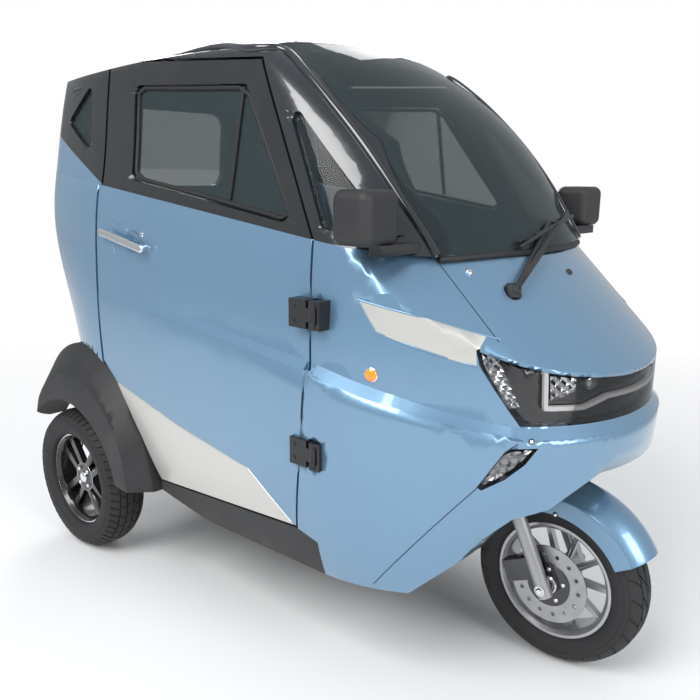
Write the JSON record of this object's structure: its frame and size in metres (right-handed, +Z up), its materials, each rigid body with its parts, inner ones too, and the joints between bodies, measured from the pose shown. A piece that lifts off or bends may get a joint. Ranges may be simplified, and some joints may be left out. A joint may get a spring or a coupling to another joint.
{
  "type": "electric passenger tricycle",
  "caption": "Closed-cabin electric passenger tricycle with side doors, a steered front wheel under a rounded nose and rear wheels under black flares.",
  "frame": {"origin": "on the ground under the centre of the vehicle's bounding box", "axes": "+X forward, +Y to the vehicle's left, +Z up"},
  "size_m": [2.0943, 1.214, 1.7269],
  "materials": {
    "blue_paint": "metallic gloss",
    "silver_paint": "metallic satin",
    "frame_paint": "satin",
    "floor_sheet": "satin",
    "black_plastic": "grained",
    "frame_black": "satin",
    "roof_black": "gloss",
    "hinge_black": "satin",
    "lamp_black": "gloss",
    "lamp_clear": "clear",
    "window_glass": "clear, lightly tinted",
    "seat_cover": "satin",
    "cast_metal": "cast",
    "spring_steel": "ground",
    "fork_silver": "satin",
    "alloy": "satin",
    "alloy_black": "gloss black",
    "chrome_trim": "polished",
    "tyre": "matte"
  },
  "bodies": {
    "body": {"chassis_frame": "frame_paint", "floor_pan": "floor_sheet", "front_wheelhouse": "black_plastic", "rear_tub": "black_plastic", "battery_box": "black_plastic", "seat_frame": "frame_paint", "driver_cushion": "seat_cover", "driver_backrest": "seat_cover", "bench_cushion": "seat_cover", "bench_backrest": "seat_cover", "dashboard": "black_plastic", "rear_axle": "cast_metal", "leaf_springs": "spring_steel", "front_quarters": "blue_paint", "bonnet": "blue_paint", "bumper": "blue_paint", "headlamp_housing": "lamp_black", "low_lamps": "lamp_clear", "garnish": "silver_paint", "sills": "black_plastic", "flares": "black_plastic", "rear_quarters": "blue_paint", "tail_panel": "blue_paint", "rear_bumper": "black_plastic", "roof": "roof_black", "cabin_frames": "frame_black", "rear_window_frames": "frame_black", "side_windows": "window_glass", "rear_window": "window_glass", "windscreen": "window_glass", "mirrors": "black_plastic", "wiper": "black_plastic", "body_hinges": "hinge_black"},
    "steering": {"fork": "fork_silver", "handlebar": "black_plastic", "front_fender": "blue_paint", "front_caliper": "cast_metal"},
    "front_wheel": {"front_tyre": "tyre", "front_rim": "alloy", "front_brake_disc": "spring_steel"},
    "rear_wheel_left": {"rear_tyre_left": "tyre", "rear_rim_left": "alloy_black"},
    "door_left": {"door_skin_left": "blue_paint", "door_lower_panel_left": "silver_paint", "door_frame_left": "frame_black", "door_glass_left": "window_glass", "door_handle_left": "chrome_trim", "door_hinges_left": "hinge_black"},
    "rear_wheel_right": {"rear_tyre_right": "tyre", "rear_rim_right": "alloy_black"},
    "door_right": {"door_skin_right": "blue_paint", "door_lower_panel_right": "silver_paint", "door_frame_right": "frame_black", "door_glass_right": "window_glass", "door_handle_right": "chrome_trim", "door_hinges_right": "hinge_black"}
  },
  "joints": [
    {"name": "steering_turn", "type": "hinge", "parent": "body", "child": "steering", "pos_m": [0.795, 0, 0.243], "axis": [-0.4226, 0, 0.9063], "range_deg": [-36, 36]},
    {"name": "front_wheel_spin", "type": "hinge", "parent": "steering", "child": "front_wheel", "pos_m": [0.795, 0, 0.243], "axis": [0, 1, 0], "continuous": true},
    {"name": "rear_wheel_left_spin", "type": "hinge", "parent": "body", "child": "rear_wheel_left", "pos_m": [-0.795, 0.5175, 0.254], "axis": [0, 1, 0], "continuous": true},
    {"name": "rear_wheel_right_spin", "type": "hinge", "parent": "body", "child": "rear_wheel_right", "pos_m": [-0.795, -0.5175, 0.254], "axis": [0, 1, 0], "continuous": true},
    {"name": "door_left_swing", "type": "hinge", "parent": "body", "child": "door_left", "pos_m": [0.385, 0.577, 0.8], "axis": [0, 0, -1], "range_deg": [0, 68]},
    {"name": "door_right_swing", "type": "hinge", "parent": "body", "child": "door_right", "pos_m": [0.385, -0.577, 0.8], "axis": [0, 0, 1], "range_deg": [0, 68]}
  ]
}
